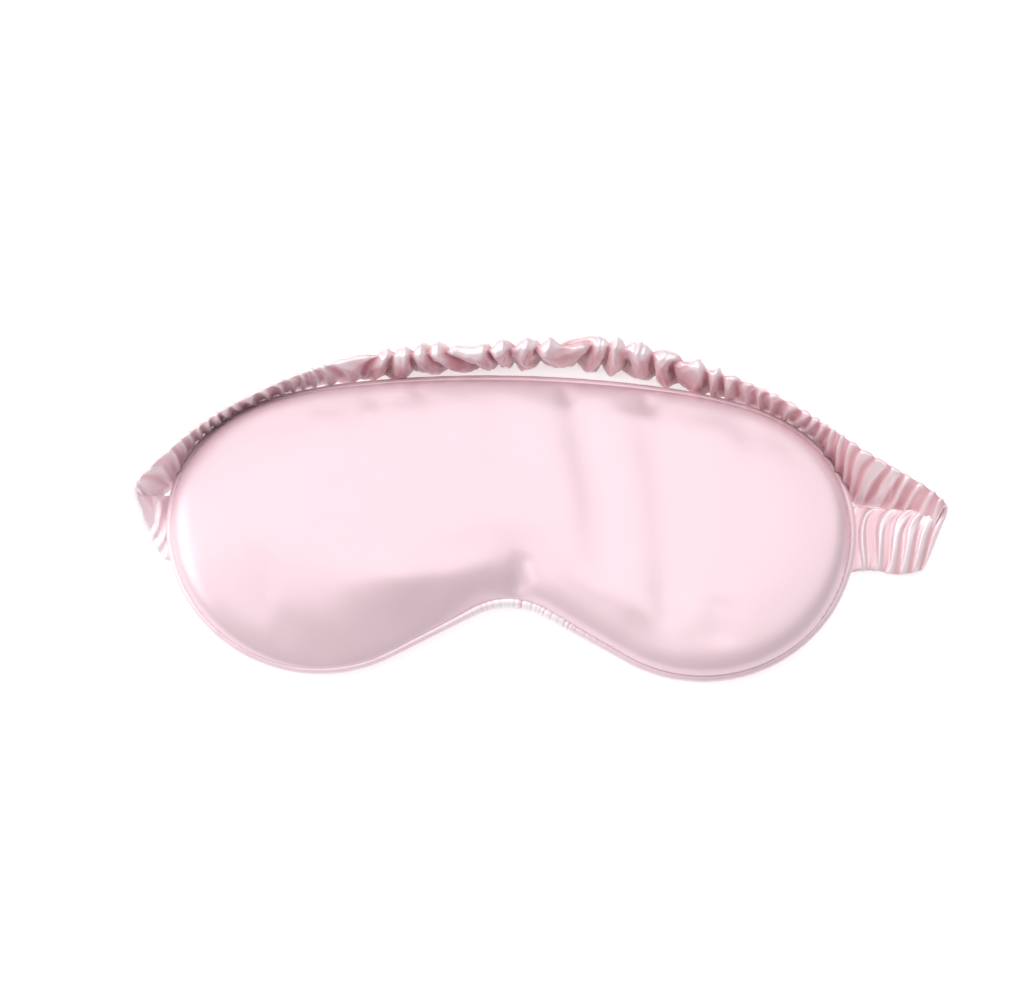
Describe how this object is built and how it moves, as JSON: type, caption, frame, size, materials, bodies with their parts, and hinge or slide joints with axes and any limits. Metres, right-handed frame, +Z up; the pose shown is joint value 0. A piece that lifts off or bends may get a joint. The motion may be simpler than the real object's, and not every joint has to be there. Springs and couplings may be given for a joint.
{
  "type": "sleep eye mask",
  "caption": "Padded satin sleep eye mask with a piped edge and a ruched elastic strap, lying face up.",
  "frame": {"origin": "on the surface the mask lies on, under the middle of the line that joins the two strap seams", "axes": "+X along the mask's width, to the right seen from above with the nose notch nearest the viewer; +Y from the nose notch to the brow edge; +Z up, out of the face that is away from the skin"},
  "size_m": [0.2484, 0.105, 0.0217],
  "materials": {
    "panel_satin": "satin",
    "piping_satin": "satin",
    "strap_satin": "satin",
    "lining": "matte",
    "wadding": "matte",
    "cotton_cord": "matte",
    "thread": "satin",
    "elastic": "matte"
  },
  "bodies": {
    "mask": {"front_panel": "panel_satin", "back_panel": "panel_satin", "blackout_lining": "lining", "front_wadding": "wadding", "back_wadding": "wadding", "piping_cover": "piping_satin", "piping_cord": "cotton_cord", "seam_stitches": "thread", "strap_tab_left": "strap_satin", "strap_tab_right": "strap_satin", "elastic_tab_left": "elastic", "elastic_tab_right": "elastic", "bar_tack_left": "thread", "bar_tack_right": "thread"},
    "strap": {"casing_left": "strap_satin", "casing_right": "strap_satin", "elastic_left": "elastic", "elastic_right": "elastic"},
    "strap_rear": {"casing_rear": "strap_satin", "elastic_rear": "elastic"}
  },
  "joints": [
    {"name": "strap_swing", "type": "hinge", "parent": "mask", "child": "strap", "pos_m": [0, 0, 0.0023], "axis": [1, 0, 0], "range_deg": [0, 145]},
    {"name": "strap_stretch", "type": "slide", "parent": "strap", "child": "strap_rear", "axis": [0, 1, 0], "range_m": [0, 0.055], "stiffness_N_per_m": 25, "deforming": ["casing_left", "casing_right", "elastic_left", "elastic_right"]}
  ]
}
